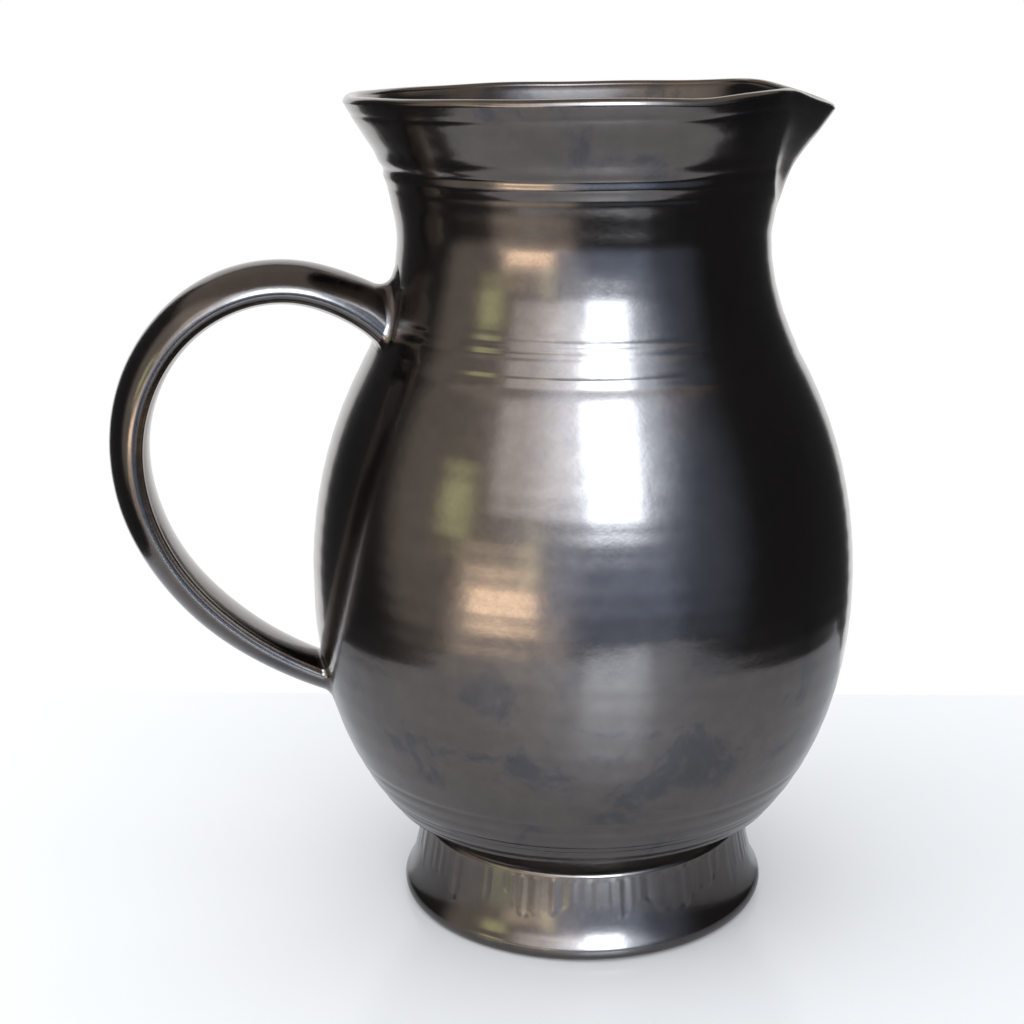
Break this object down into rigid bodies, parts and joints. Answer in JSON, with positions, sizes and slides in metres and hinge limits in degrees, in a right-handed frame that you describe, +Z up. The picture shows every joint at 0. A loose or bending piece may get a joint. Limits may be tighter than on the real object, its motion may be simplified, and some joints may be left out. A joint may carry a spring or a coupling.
{
  "type": "stoneware jug",
  "caption": "Round-bellied stoneware jug on a flared foot, with a flared collar, a pinched pouring spout and a strap handle, in a dark metallic lustre glaze.",
  "frame": {"origin": "centre of the ring that the jug stands on, at table height, on the axis of the thrown body", "axes": "+Z up along the jug's axis, -X towards the handle, +X towards the spout's side, with the spout turned 10 degrees towards -Y"},
  "size_m": [0.2234, 0.166, 0.2521],
  "materials": {
    "lustre_glaze": "satin metallic lustre glaze, gunmetal to brown, cloudy"
  },
  "bodies": {
    "root": {"foot": "lustre_glaze", "belly": "lustre_glaze", "neck": "lustre_glaze", "spout": "lustre_glaze", "handle": "lustre_glaze", "upper_handle_lute": "lustre_glaze", "lower_handle_lute": "lustre_glaze"}
  },
  "joints": []
}
